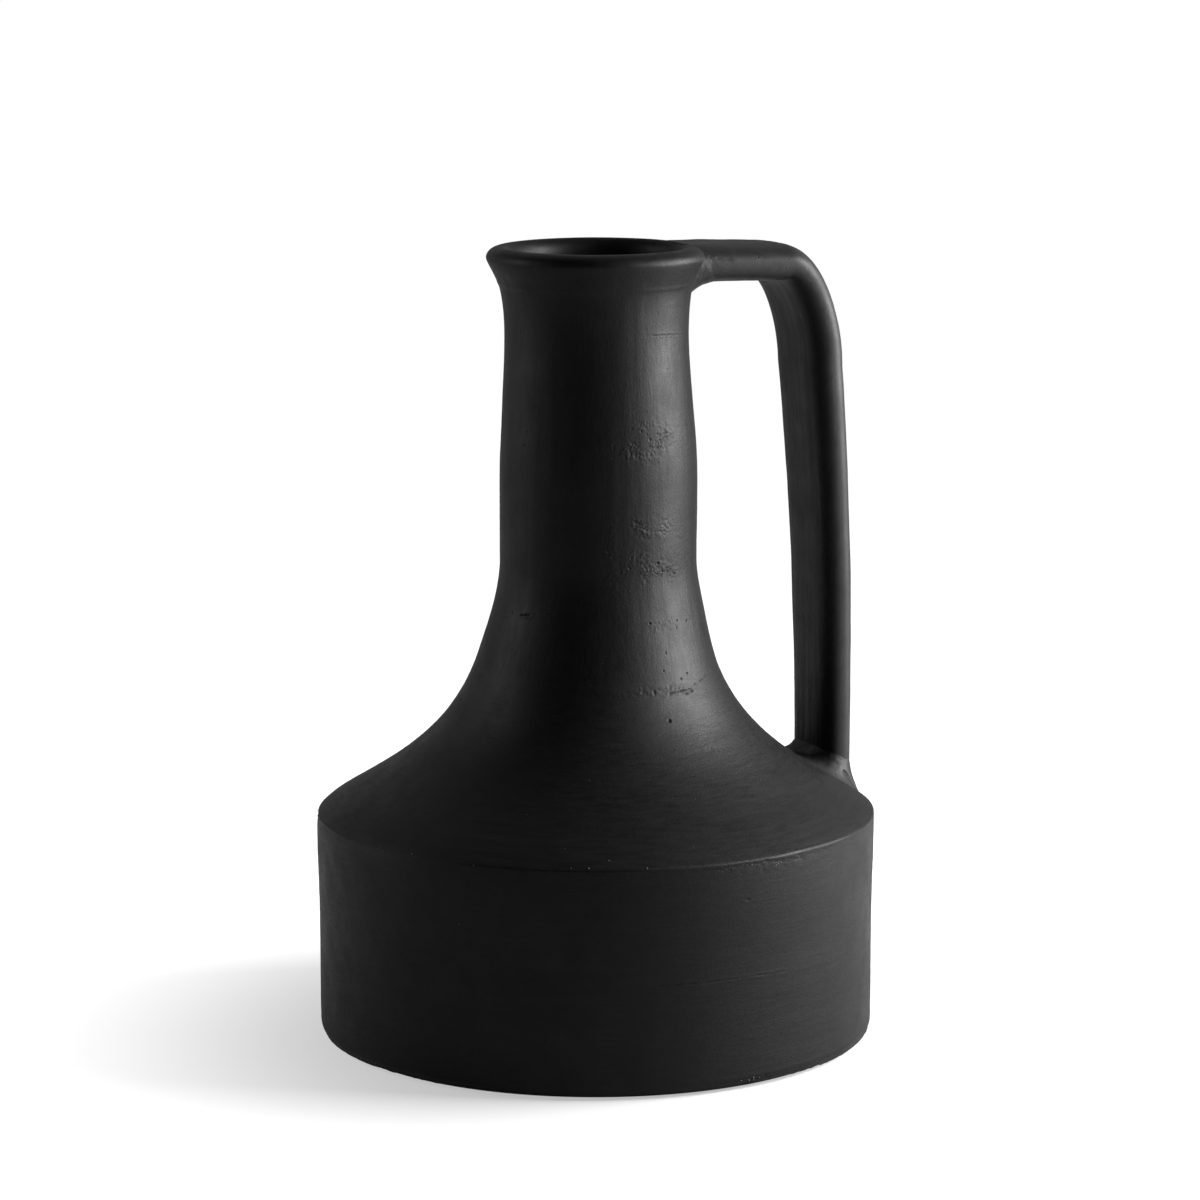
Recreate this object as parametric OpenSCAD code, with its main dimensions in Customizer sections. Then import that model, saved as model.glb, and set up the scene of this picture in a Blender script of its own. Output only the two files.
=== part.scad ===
// A tall-necked earthenware vase with a creased shoulder and one strap handle.
// It is built as a potter builds it: a floor slab, turned sections luted one on another, a rolled
// rim, coils pressed into the inside corners, and a pulled strap stuck on with wads of clay.
// The axis is +Z, the ground is z = 0 and the handle lies towards +X. Lengths are in millimetres.

/* [Heights] */
// Height of the seam between drum and shoulder above the ground
drum_h = 92; // [80:1:110]
// Height of the shoulder section
shoulder_h = 60; // [54:1:72]
// Height of the tapering root of the neck
neck_root_h = 43; // [36:1:54]
// Height of the middle section of the neck
mid_neck_h = 52; // [44:1:64]
// Height of the upper section of the neck
upper_neck_h = 59; // [54:1:70]
// Height of the rim above its seam
rim_h = 16; // [15:0.5:20]

/* [Diameters] */
// Diameter of the drum's lower wall
drum_d = 226; // [214:1:240]
// How much wider the drum is under the crease than at its foot
drum_swell = 2; // [0:0.5:4]
// Diameter of the seam between shoulder and neck
root_seam_d = 99.4; // [94:0.2:106]
// Diameter of the neck where its taper ends
neck_d = 79.8; // [76:0.2:84]
// Diameter of the seam between the middle and upper neck
mid_seam_d = 78.4; // [75:0.2:82]
// Diameter of the neck at its narrowest place
waist_d = 74.3; // [72:0.1:77]
// Diameter of the seam under the rim
rim_seam_d = 77.8; // [75.5:0.2:80]
// Diameter of the lip at its widest place
lip_d = 88; // [84:0.5:94]
// Diameter of the lip's crest, its highest line
crest_d = 75.2; // [72:0.2:78]
// Diameter of the mouth
mouth_d = 66; // [62:0.5:68]

/* [Walls] */
// Thickness of the floor slab
floor_t = 9; // [7:0.5:12]
// Thickness of the drum's wall
drum_wall = 7.5; // [6:0.5:10]
// Thickness of the shoulder's wall
shoulder_wall = 6.5; // [5.5:0.5:8]
// Thickness of the neck's wall
neck_wall = 5; // [4:0.25:6]
// Rounding of the foot's lower edge
foot_round = 5.9; // [2:0.1:6.5]
// Rounding of the crease
crease_round = 3; // [2:0.5:8]
// How far the inner edge of each neck seam lies below its outer edge
seam_bevel = 2; // [0.5:0.25:3]
// Reach of the coil pressed into the corner of floor and wall
floor_coil_leg = 8; // [5:0.5:11]
// Reach of the coil pressed into the corner under the shoulder
crease_coil_leg = 9; // [5:0.5:12]

/* [Form of the shoulder and neck] */
// How many millimetres the shoulder draws in for each millimetre up, at the crease
shoulder_fall = 1.37; // [1.1:0.01:1.6]
// How many millimetres the wall draws in for each millimetre up, at the root seam
root_fall = 0.39; // [0.25:0.01:0.5]
// How many millimetres the wall draws in for each millimetre up, at the middle seam
mid_fall = 0.06; // [0:0.01:0.1]
// How many millimetres the wall opens for each millimetre up, at the rim seam
rim_flare = 0.31; // [0.2:0.01:0.4]
// Depth of the neck's narrowest place below the crest
waist_depth = 34; // [30:1:40]
// Depth of the lip's widest place below the crest
lip_depth = 4.4; // [3.5:0.1:6]
// Depth of the mouth's narrowest place below the crest
mouth_depth = 8; // [6:0.5:11]

/* [Handle] */
// Width of the strap at the neck
strap_root_w = 43; // [36:1:48]
// Width of the strap at its foot
strap_foot_w = 33; // [28:1:38]
// Thickness of the strap at the neck
strap_root_t = 15; // [12:0.5:16]
// Thickness of the strap at its foot
strap_foot_t = 13.3; // [11:0.1:14.5]
// How far the middle of the foot lies inside the drum's widest line
foot_inset = 10.5; // [9:0.5:16]
// How far the strap leans in at the top of its upright run
strap_lean = 7.1; // [3:0.1:11]
// How far the arm's top lies below the crest
arm_depth = 0.2; // [0.1:0.1:3]
// How far the arm drops on its way out
arm_drop = 1; // [0:0.1:3]
// Reach of the bend along the arm
bend_reach = 19.4; // [15:0.1:26]
// Reach of the bend down the upright run
bend_fall = 42.9; // [34:0.1:52]

/* [Wads] */
// Reach of the upper wad along the arm
upper_wad_reach = 11; // [8:0.5:13]
// How far the upper wad stands out under the arm at the neck
upper_wad_under = 6; // [4:0.5:8]
// How far the upper wad stands out beside the arm at the neck
upper_wad_side = 4; // [2.5:0.5:6]
// Reach of the lower wad up the strap
lower_wad_reach = 12; // [8:0.5:16]
// How far the lower wad stands out beside the foot
lower_wad_side = 7; // [4:0.5:9]
// How far the lower wad stands out towards the neck
lower_wad_in = 8; // [4:0.5:10]
// How far the lower wad stands out towards the drum's edge
lower_wad_out = 2.2; // [1.5:0.1:3]
// Thickness of the wads at their feathered edges
feather = 0.6; // [0.4:0.1:1.2]

/* [Hidden] */

clay_black = "#232323";
clay_grey = "#2b2b2b";

// Steps in each curve and facets of the turned and pulled forms
curve_steps = 14;
round_steps = 6;
turn_facets = 180;
strap_sides = 28;
arm_steps = 4;
bend_steps = 14;
run_steps = 14;
wad_steps = 7;

// Where each curve leaves and meets its ends, as shares of its height
shoulder_pull_shares = [0.22, 0.59];
root_pull_shares = [0.10, 0.29];
mid_pull_shares = [0.80, 0.29];
upper_pull_shares = [0.69, 0.22];
waist_pull_shares = [0.45, 0.14];
rim_pull_shares = [0.43, 0.15];
swell_pull_shares = [0.70, 0.54];
mouth_pull_shares = [0.35, 0.35];

// Height at which the drum starts to swell, as a share of the drum's height
swell_start_share = 0.38;
// How far a coil's smoothed face is drawn into its corner
coil_dish_share = 0.3;

// How round the strap's section is across its width and through its thickness, and how round its bend
// is: nothing makes a square corner, one an ellipse
strap_wide_share = 0.35;
strap_thick_share = 0.85;
bend_round_share = 1.11;

// Radii, worked out from the diameters
drum_r = drum_d / 2;
drum_top_r = drum_r + drum_swell / 2;
drum_inner_r = drum_r - drum_wall;
lip_r = lip_d / 2;
crest_r = crest_d / 2;
mouth_r = mouth_d / 2;

// Heights of the seams above the ground
root_seam_z = drum_h + shoulder_h;
neck_z = root_seam_z + neck_root_h;
mid_seam_z = neck_z + mid_neck_h;
rim_seam_z = mid_seam_z + upper_neck_h;
crest_z = rim_seam_z + rim_h;

// A point on a curve with two pulled ends
function cubic(a, b, c, d, t) =
    a * pow(1 - t, 3) + b * 3 * pow(1 - t, 2) * t + c * 3 * (1 - t) * pow(t, 2) + d * pow(t, 3);

// The wall's line from one seam point to the next: lean is how far it opens for each millimetre up
function wall_line(low, low_lean, high, high_lean, pull_shares) =
    let (
        rise = high.y - low.y,
        low_pull = low + [low_lean, 1] * rise * pull_shares[0],
        high_pull = high - [high_lean, 1] * rise * pull_shares[1]
    )
    [for (i = [0:curve_steps]) cubic(low, low_pull, high_pull, high, i / curve_steps)];

// Points on an arc of an ellipse
function arc(centre, reach, rise, from_angle, to_angle) =
    [for (i = [0:round_steps])
        let (a = from_angle + (to_angle - from_angle) * i / round_steps)
        centre + [reach * cos(a), rise * sin(a)]];

// The point inside the wall across from an outer point, on a line square to the wall
function across_wall(outer, lean, wall) = outer + [-1, lean] * wall / sqrt(1 + pow(lean, 2));

// The same for a neck seam, whose inner edge lies lower, so that the joint is a shallow cone
function inner_seam(outer, lean) = across_wall(outer, lean, neck_wall) - [0, seam_bevel];

function turned_over(points) = [for (i = [len(points) - 1:-1:0]) points[i]];

// Where the sections meet on the outside
crease_angle = atan(shoulder_fall);
crease_centre = [drum_top_r - crease_round, drum_h - crease_round * sin(crease_angle)];
crease_seam = crease_centre + crease_round * [cos(crease_angle), sin(crease_angle)];
root_seam = [root_seam_d / 2, root_seam_z];
neck_seam = [neck_d / 2, neck_z];
mid_seam = [mid_seam_d / 2, mid_seam_z];
waist = [waist_d / 2, crest_z - waist_depth];
rim_seam = [rim_seam_d / 2, rim_seam_z];
lip = [lip_r, crest_z - lip_depth];

// Where they meet on the inside
under_crease = across_wall(crease_seam, -shoulder_fall, shoulder_wall);
crease_corner = [drum_inner_r, under_crease.y + (under_crease.x - drum_inner_r) / shoulder_fall];
shoulder_way = [-shoulder_fall, 1] / sqrt(1 + pow(shoulder_fall, 2));
crease_coil_top = crease_corner + shoulder_way * crease_coil_leg;
crease_coil_foot = crease_corner - [0, crease_coil_leg];
root_inner = inner_seam(root_seam, -root_fall);
neck_inner = inner_seam(neck_seam, 0);
mid_inner = inner_seam(mid_seam, -mid_fall);
waist_inner = inner_seam(waist, 0);
rim_inner = inner_seam(rim_seam, rim_flare);
mouth = [mouth_r, crest_z - mouth_depth];

// Outer lines of the sections, from the bottom up
base_line = concat(arc([drum_r - foot_round, foot_round], foot_round, foot_round, -90, 0), [[drum_r, floor_t]]);
drum_line = concat(
    [[drum_r, floor_t]],
    wall_line([drum_r, drum_h * swell_start_share], 0, [drum_top_r, crease_centre.y], 0, swell_pull_shares),
    arc(crease_centre, crease_round, crease_round, crease_angle / round_steps, crease_angle)
);
shoulder_line = wall_line(crease_seam, -shoulder_fall, root_seam, -root_fall, shoulder_pull_shares);
root_line = wall_line(root_seam, -root_fall, neck_seam, 0, root_pull_shares);
mid_line = wall_line(neck_seam, 0, mid_seam, -mid_fall, mid_pull_shares);
upper_line = concat(
    wall_line(mid_seam, -mid_fall, waist, 0, upper_pull_shares),
    wall_line(waist, 0, rim_seam, rim_flare, waist_pull_shares)
);
rim_line = concat(
    wall_line(rim_seam, rim_flare, lip, 0, rim_pull_shares),
    arc([crest_r, lip.y], lip_r - crest_r, lip_depth, 90 / round_steps, 90)
);

// The whole outside, filled in to the axis: the handle and the wads are cut to it
body_line = concat([[0, 0]], base_line, drum_line, shoulder_line, root_line, mid_line, upper_line, rim_line, [[0, crest_z]]);

module turned(points) {
    rotate_extrude($fn = turn_facets)
        polygon(points);
}

module whole_body() {
    turned(body_line);
}

module base_slab() {
    color(clay_black)
        turned(concat([[0, 0]], base_line, [[0, floor_t]]));
}

// A coil's section in a corner: two legs on the walls and a smoothed, hollow face between them
function coil_face(start, corner, finish) =
    let (dish = corner + ((start + finish) / 2 - corner) * coil_dish_share)
    [for (i = [0:round_steps])
        let (t = i / round_steps)
        start * pow(1 - t, 2) + dish * 2 * t * (1 - t) + finish * pow(t, 2)];

module floor_coil() {
    corner = [drum_inner_r, floor_t];
    color(clay_grey)
        turned(concat([corner], coil_face(corner + [0, floor_coil_leg], corner, corner - [floor_coil_leg, 0])));
}

module drum_wall() {
    color(clay_black)
        turned(concat(drum_line, [crease_corner, crease_coil_foot, [drum_inner_r, floor_t + floor_coil_leg],
            [drum_inner_r, floor_t]]));
}

module crease_coil() {
    color(clay_grey)
        turned(concat([crease_corner], coil_face(crease_coil_top, crease_corner, crease_coil_foot)));
}

module shoulder() {
    inside = wall_line(crease_coil_top, -shoulder_fall, root_inner, -root_fall, shoulder_pull_shares);
    color(clay_black)
        turned(concat(shoulder_line, turned_over(inside), [crease_corner]));
}

module neck_root() {
    inside = wall_line(root_inner, -root_fall, neck_inner, 0, root_pull_shares);
    color(clay_black)
        turned(concat(root_line, turned_over(inside)));
}

module mid_neck() {
    inside = wall_line(neck_inner, 0, mid_inner, -mid_fall, mid_pull_shares);
    color(clay_black)
        turned(concat(mid_line, turned_over(inside)));
}

module upper_neck() {
    inside = concat(
        wall_line(mid_inner, -mid_fall, waist_inner, 0, upper_pull_shares),
        wall_line(waist_inner, 0, rim_inner, rim_flare, waist_pull_shares)
    );
    color(clay_black)
        turned(concat(upper_line, turned_over(inside)));
}

module rim() {
    roll = arc([crest_r, mouth.y], crest_r - mouth_r, mouth_depth, 90, 180);
    inside = wall_line(rim_inner, rim_flare, mouth, 0, mouth_pull_shares);
    color(clay_black)
        turned(concat(rim_line, roll, turned_over(inside)));
}

// The strap's middle line: out along the arm, round the bend and down to the shoulder. Both ends are
// straight and even where the wads hold them, and run on into the body, which cuts them to its surface.
strap_foot_x = drum_top_r - foot_inset;
run_top_x = strap_foot_x - strap_lean;
bend_x = run_top_x - bend_reach;
arm_z = crest_z - arm_depth - strap_root_t / 2;
bend_z = arm_z - arm_drop;
run_top_z = bend_z - bend_fall;
strap_root_x = mouth_r - neck_wall;
held_root_x = rim_seam.x + upper_wad_reach + feather;
foot_slope = 1 / shoulder_fall;
foot_seat_z = crease_seam.y + (crease_seam.x - strap_foot_x) * foot_slope;
held_foot_z = foot_seat_z + lower_wad_reach + (strap_foot_t / 2 + lower_wad_in) * foot_slope + feather;
strap_foot_z = drum_h - lower_wad_side;

function bend_share(value) = pow(value, bend_round_share);

arm_path = [for (i = [0:arm_steps - 1])
    let (t = i / arm_steps)
    [held_root_x + (bend_x - held_root_x) * t, arm_z - arm_drop * t]];
bend_path = [for (i = [0:bend_steps - 1])
    let (a = 90 * i / bend_steps)
    [bend_x + bend_reach * bend_share(sin(a)), bend_z - bend_fall * (1 - bend_share(cos(a)))]];
run_path = [for (i = [0:run_steps])
    let (t = i / run_steps)
    [strap_foot_x - strap_lean * pow(1 - t, 2), run_top_z + (held_foot_z - run_top_z) * t]];
strap_path = concat([[strap_root_x, arm_z]], arm_path, bend_path, run_path, [[strap_foot_x, strap_foot_z]]);
strap_last = len(strap_path) - 1;

// Which way the strap runs at each point of its line: level at its root and upright at its foot
function way_at(i) =
    i < 2 ? [1, 0] :
    i > strap_last - 2 ? [0, -1] :
    let (step = strap_path[i + 1] - strap_path[i - 1])
    step / norm(step);

// How far along the strap each point of its line lies, and the same as a share between the held ends
function run_to(i) = i == 0 ? 0 : run_to(i - 1) + norm(strap_path[i] - strap_path[i - 1]);
held_run = run_to(strap_last - 1) - run_to(1);
function taper_share(i) = min(1, max(0, (run_to(i) - run_to(1)) / held_run));

// A point on the strap's round-edged section, for half sizes along its two ways
function eased(value, round_share) = sign(value) * pow(abs(value), round_share);
function oval(half_w, half_t, side) =
    let (a = 360 * side / strap_sides)
    [half_w * eased(cos(a), strap_wide_share), half_t * eased(sin(a), strap_thick_share)];

strap_rings = [for (i = [0:strap_last])
    let (
        way = way_at(i),
        out = [-way.y, way.x],
        half_w = (strap_root_w + (strap_foot_w - strap_root_w) * taper_share(i)) / 2,
        half_t = (strap_root_t + (strap_foot_t - strap_root_t) * taper_share(i)) / 2
    )
    [for (j = [0:strap_sides - 1])
        let (
            spot = oval(half_w, half_t, j),
            place = strap_path[i] + out * spot.y
        )
        [place.x, spot.x, place.y]]];

// Two triangles for the patch between four points, given clockwise as seen from outside
function patch(a, b, c, d) = [[a, b, c], [a, c, d]];
function joined(lists) = [for (list = lists, item = list) item];

module strap() {
    sides = strap_sides;
    walls = joined([for (i = [0:strap_last - 1], j = [0:sides - 1])
        let (
            a = i * sides + j,
            b = i * sides + (j + 1) % sides
        )
        patch(a, a + sides, b + sides, b)]);
    root_end = [for (j = [0:sides - 1]) j];
    foot_end = [for (j = [sides - 1:-1:0]) strap_last * sides + j];
    polyhedron(points = joined(strap_rings), faces = concat(walls, [root_end, foot_end]));
}

module handle() {
    color(clay_black)
        difference() {
            strap();
            whole_body();
        }
}

// A sleeve between rows of outer and inner points. It goes right round if closed, or else stops at
// the first and last point of each row.
module sleeve(outer, inner, closed) {
    rows = len(outer);
    sides = len(outer[0]);
    spans = closed ? sides : sides - 1;
    inward = rows * sides;
    walls = joined([for (i = [0:rows - 2], j = [0:spans - 1])
        let (
            a = i * sides + j,
            b = i * sides + (j + 1) % sides
        )
        concat(
            patch(a, a + sides, b + sides, b),
            patch(inward + a, inward + b, inward + b + sides, inward + a + sides)
        )]);
    ends = joined([for (j = [0:spans - 1])
        let (
            k = (j + 1) % sides,
            top = (rows - 1) * sides
        )
        concat(
            patch(j, k, inward + k, inward + j),
            patch(top + k, top + j, inward + top + j, inward + top + k)
        )]);
    edges = closed ? [] : joined([for (i = [0:rows - 2])
        let (
            a = i * sides,
            b = i * sides + sides - 1
        )
        concat(
            patch(a, inward + a, inward + a + sides, a + sides),
            patch(b, b + sides, inward + b + sides, inward + b)
        )]);
    polyhedron(points = concat(joined(outer), joined(inner)), faces = concat(walls, ends, edges));
}

// How much of a wad is left at a distance from the joint: all at the joint, nothing at its reach
function left_at(away, reach) = pow(1 - max(0, away / reach), 2);

// Both wads start inside the body, by this share of their reach
wad_start_share = 0.5;

// The upper wad goes round the arm's underside and sides, from this share of the way round
upper_wad_start_share = 0.43;
upper_wad_first = round(strap_sides * upper_wad_start_share);
upper_wad_last = strap_sides + strap_sides / 2 - upper_wad_first;

// A place on the arm, at a distance from the neck's rounded surface
function by_neck(spot, away) = [sqrt(pow(rim_seam.x, 2) - pow(spot.x, 2)) + away, spot.x, arm_z + spot.y];

upper_wad_aways = [for (i = [0:wad_steps]) upper_wad_reach * (i * (1 + wad_start_share) / wad_steps - wad_start_share)];
upper_wad_outer = [for (away = upper_wad_aways)
    [for (j = [upper_wad_first:upper_wad_last])
        let (
            round_share = (j - upper_wad_first) / (upper_wad_last - upper_wad_first),
            left = left_at(away, upper_wad_reach) * sqrt(sin(180 * round_share)),
            half_w = strap_root_w / 2 + feather + upper_wad_side * left,
            half_t = strap_root_t / 2 + feather + upper_wad_under * left
        )
        by_neck(oval(half_w, half_t, j), away)]];
upper_wad_inner = [for (away = upper_wad_aways)
    [for (j = [upper_wad_first:upper_wad_last]) by_neck(oval(strap_root_w / 2, strap_root_t / 2, j), away)]];

module upper_wad() {
    color(clay_grey)
        difference() {
            sleeve(upper_wad_outer, upper_wad_inner, false);
            whole_body();
        }
}

// A place on the strap's foot, at a height over the shoulder's slope
function by_shoulder(spot, height) = [strap_foot_x + spot.y, spot.x, foot_seat_z + height - spot.y * foot_slope];

// The lower wad is a collar right round the foot
lower_wad_heights = [for (i = [0:wad_steps]) lower_wad_reach * (1 - i * (1 + wad_start_share) / wad_steps)];
lower_wad_outer = [for (height = lower_wad_heights)
    [for (j = [0:strap_sides - 1])
        let (
            left = left_at(height, lower_wad_reach),
            spread = j < strap_sides / 2 ? lower_wad_out : lower_wad_in,
            half_w = strap_foot_w / 2 + feather + lower_wad_side * left
        )
        by_shoulder(oval(half_w, strap_foot_t / 2 + feather + spread * left, j), height)]];
lower_wad_inner = [for (height = lower_wad_heights)
    [for (j = [0:strap_sides - 1]) by_shoulder(oval(strap_foot_w / 2, strap_foot_t / 2, j), height)]];

module lower_wad() {
    color(clay_grey)
        difference() {
            sleeve(lower_wad_outer, lower_wad_inner, true);
            whole_body();
        }
}

base_slab();
floor_coil();
drum_wall();
crease_coil();
shoulder();
neck_root();
mid_neck();
upper_neck();
rim();
handle();
upper_wad();
lower_wad();
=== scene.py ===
"""A matt black earthenware vase with a pulled strap handle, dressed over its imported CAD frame.

The body is turned from one outline, cut at the seams where the potter luted the sections together. Each
section is a closed wall with its own skin of throwing rings, brush strokes, pits and cracks. The strap is
a flat oval carried along its middle line, and the wads are hollow fillets round its two ends.
"""
import math

import bpy
import numpy as np
from bpy.props import FloatProperty, FloatVectorProperty, IntProperty, PointerProperty
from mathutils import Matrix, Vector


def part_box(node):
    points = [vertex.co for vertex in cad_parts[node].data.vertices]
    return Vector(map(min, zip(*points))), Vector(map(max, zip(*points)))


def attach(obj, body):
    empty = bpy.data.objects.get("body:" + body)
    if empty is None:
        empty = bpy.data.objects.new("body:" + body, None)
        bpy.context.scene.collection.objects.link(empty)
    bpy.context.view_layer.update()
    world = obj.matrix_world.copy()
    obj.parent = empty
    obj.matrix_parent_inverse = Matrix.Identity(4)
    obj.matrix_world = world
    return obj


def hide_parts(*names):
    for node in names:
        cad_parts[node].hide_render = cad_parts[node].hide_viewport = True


bl_info = {
    "name": "Earthenware Vase", "version": (1, 0, 0), "blender": (4, 5, 0), "category": "Object",
    "location": "3D View > Sidebar > Vase",
    "description": "Turns, pulls and finishes a matt black earthenware vase over its CAD frame",
}

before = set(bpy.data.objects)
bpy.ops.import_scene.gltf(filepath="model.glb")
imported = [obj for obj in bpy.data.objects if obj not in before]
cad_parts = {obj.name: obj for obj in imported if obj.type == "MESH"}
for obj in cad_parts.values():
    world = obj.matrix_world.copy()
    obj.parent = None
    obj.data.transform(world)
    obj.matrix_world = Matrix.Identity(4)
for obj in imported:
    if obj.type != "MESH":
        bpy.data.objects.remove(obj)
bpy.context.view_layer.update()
MM = 0.001
LENGTH = {"subtype": "DISTANCE", "unit": "LENGTH"}
COLOUR = {"subtype": "COLOR", "size": 4, "min": 0, "max": 1}

# Outer seam heights in mm, from the frame
TOP_OF = {name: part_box(name)[1][2] / MM for name in
          ("base_slab", "drum_wall", "shoulder", "neck_root", "mid_neck", "upper_neck", "rim")}

# The potter's sizes in mm. Slopes say how far the wall opens for each millimetre up.
DRUM_R, DRUM_TOP_R, CREASE_ROUND, FOOT_ROUND = 113.0, 114.0, 0.6, 5.9
SHOULDER_SLOPE, ROOT_SLOPE, MID_SLOPE, RIM_SLOPE = -1.37, -0.39, -0.06, 0.31
ROOT_R, NECK_R, MID_R, WAIST_R, RIM_R, LIP_R, CREST_R, MOUTH_R = 49.7, 39.9, 39.2, 37.15, 38.9, 44.0, 37.6, 33.0
WAIST_Z, LIP_Z, MOUTH_Z, CREST_Z = 288.0, 317.6, 314.0, 322.0
DRUM_INNER_R, SHOULDER_WALL, NECK_WALL, SEAM_BEVEL, COIL_LEG = 105.5, 6.5, 5.0, 2.0, 9.0
BOX_LIMIT_R, BOX_LIMIT_Z = 113.93, 321.98

# How far each curve of the outline is drawn out along its two slopes, as shares of its rise
PULLS = ((0.22, 0.59), (0.1, 0.29), (0.8, 0.29), (0.69, 0.22), (0.45, 0.14), (0.43, 0.15))

# The strap's middle line and section in mm
ARM_Z, HELD_ROOT_X, BEND_X, BEND_Z, BEND_REACH, BEND_FALL = 314.3, 50.5, 77.0, 313.3, 19.4, 42.9
BITE = 1.2  # how far its ends run into the body
STRAP_FOOT_X, STRAP_LEAN, HELD_FOOT_Z = 103.5, 7.1, 119.27
ROOT_HALF_W, FOOT_HALF_W, ROOT_HALF_T, FOOT_HALF_T = 23.5, 18.5, 7.7, 6.95

# The side of the vase that is worked most and seen most, as an azimuth in degrees
FRONT = -95.0
# How far the camera is turned about the axis, in degrees. The neck leans to the camera's right.
VIEW_TURN = -24.0
# The camera's lens and sensor in mm, how far it looks down in radians and stands aside in metres
LENS, SENSOR, LOOK_DOWN, ASIDE = 135.609, 36.0, 0.172, 0.00183
WHITE = (1.0, 1.0, 1.0, 1.0)

# Pits in the skin: azimuth in degrees, height, radius and depth in mm
PITS = np.array([
    (-73.7, 297.8, 0.8, 0.12), (-96.3, 260.9, 0.5, 0.2), (-153.5, 260.7, 0.7, 0.18), (-140.8, 283.6, 0.6, 0.1),
    (-88.1, 251.8, 0.7, 0.28), (-77.1, 250.2, 0.6, 0.26), (-82.5, 248.3, 0.8, 0.24), (-75.3, 244.9, 0.6, 0.24),
    (-53.2, 249.8, 0.5, 0.2), (-89.6, 242.6, 0.5, 0.2), (-71.6, 251.3, 0.5, 0.22), (-84.5, 250.4, 0.5, 0.22),
    (-77.7, 198.5, 0.7, 0.4), (-74.5, 194.9, 0.6, 0.36), (-78.4, 194.2, 0.5, 0.34), (-67.9, 195.3, 0.6, 0.38),
    (-64.5, 193.3, 0.6, 0.38), (-75, 193, 0.4, 0.3), (-66, 196.6, 0.4, 0.3), (-70.6, 194.3, 0.4, 0.28),
    (-96, 197.3, 0.6, 0.34), (-101.3, 195.8, 0.5, 0.22), (-135.8, 191.3, 0.5, 0.18), (-95, 201.4, 0.6, 0.34),
    (-99.9, 206.9, 0.5, 0.2), (-167.8, 177.1, 0.5, 0.28), (-172, 174.6, 0.5, 0.28), (-85.1, 175, 0.7, 0.4),
    (-66.7, 174.8, 0.5, 0.34), (-67.7, 172, 0.5, 0.34), (-58.7, 174, 0.6, 0.38), (-54.7, 175.2, 0.5, 0.34),
    (-76.4, 173.6, 0.4, 0.26), (-77.2, 163, 0.6, 0.38), (-80, 156.2, 0.5, 0.34), (-65.4, 154, 0.6, 0.38),
    (-70.1, 152.3, 0.6, 0.36), (-45.8, 152.1, 0.5, 0.26), (-82.8, 137.8, 1, 0.55), (-69.1, 126.3, 0.6, 0.2),
    (-59.2, 113.3, 0.6, 0.2), (-91.1, 117.3, 0.6, 0.18), (-82.4, 76.6, 0.9, 0.55), (-111.1, 81.5, 0.8, 0.25),
])

# Cracks: places as azimuth and height, then width and depth in mm
CRACKS = (
    (((-77.5, 289.3), (-69.9, 289.1), (-52, 288.4), (-41.7, 287.3)), 0.35, 0.16),
    (((-160.7, 176.9), (-157, 177.3), (-153.4, 177.5)), 0.5, 0.4),
    (((-143.2, 178.7), (-138, 178.9)), 0.4, 0.22),
    (((-85.2, 149.7), (-82, 149.2), (-79.7, 148.9)), 0.4, 0.16),
    (((-79, 147.6), (-74.5, 147.8), (-70.5, 148), (-66, 148)), 0.45, 0.3),
    (((-70, 146.6), (-66, 147), (-61.5, 148.4)), 0.45, 0.34),
    (((-63, 149.4), (-58, 150), (-52, 151), (-46.1, 151.6)), 0.4, 0.2),
    (((-101.4, 45.2), (-96, 45.5), (-92.9, 45.3), (-86, 45.4), (-79.2, 45.2), (-73.3, 44.9)), 0.45, 0.2),
)

# Rough patches: azimuth, height, half width, half height and depth of the tearing in mm
ROUGH = np.array([
    (-82, 248, 13, 7, 0.25), (-92, 245, 10, 9, 0.12), (-88, 213.5, 11, 4.2, 0.27),
    (-80, 206, 20, 7, 0.18), (-84, 193, 20, 5.5, 0.2), (-70, 194.5, 9, 3, 0.16),
    (-70, 173.5, 18, 3, 0.12), (-92, 149.5, 22, 2.6, 0.14), (-70, 148.6, 26, 1.8, 0.13),
    (-74, 88.8, 24, 2.6, 0.34), (-108, 90.6, 26, 1.2, 0.12), (-79, 3.8, 7, 2, 0.3),
    (-70, 290, 16, 9, 0.03), (148, 196, 26, 4.5, 0.12), (86, 149, 30, 2.4, 0.18),
    (35, 246, 12, 7, 0.15), (160, 90, 40, 1.8, 0.2), (58, 91, 30, 1.2, 0.16),
])

# Pits on the strap: place in mm, then radius and depth
STRAP_PITS = np.array([
    (83, -20.2, 311, 0.9, 0.3), (87.5, -19.6, 308, 0.7, 0.25), (90, -19.4, 303.5, 0.8, 0.25),
    (58, -21, 313, 0.7, 0.22), (96, -18.5, 175, 0.6, 0.2), (104, -17.4, 205, 0.6, 0.18),
    (92.5, -6, 250, 0.8, 0.2), (109, 3, 190, 0.7, 0.2), (108, -6, 145, 0.6, 0.2),
    (102, 16.6, 230, 0.7, 0.22), (103, 15.9, 150, 0.8, 0.24), (70, 8, 321, 0.8, 0.18),
    (72.4, -20.5, 312.1, 0.7, 0.35), (74.6, -20.5, 311.2, 0.6, 0.3), (76.4, -20.5, 310.7, 0.7, 0.35),
])

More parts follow.
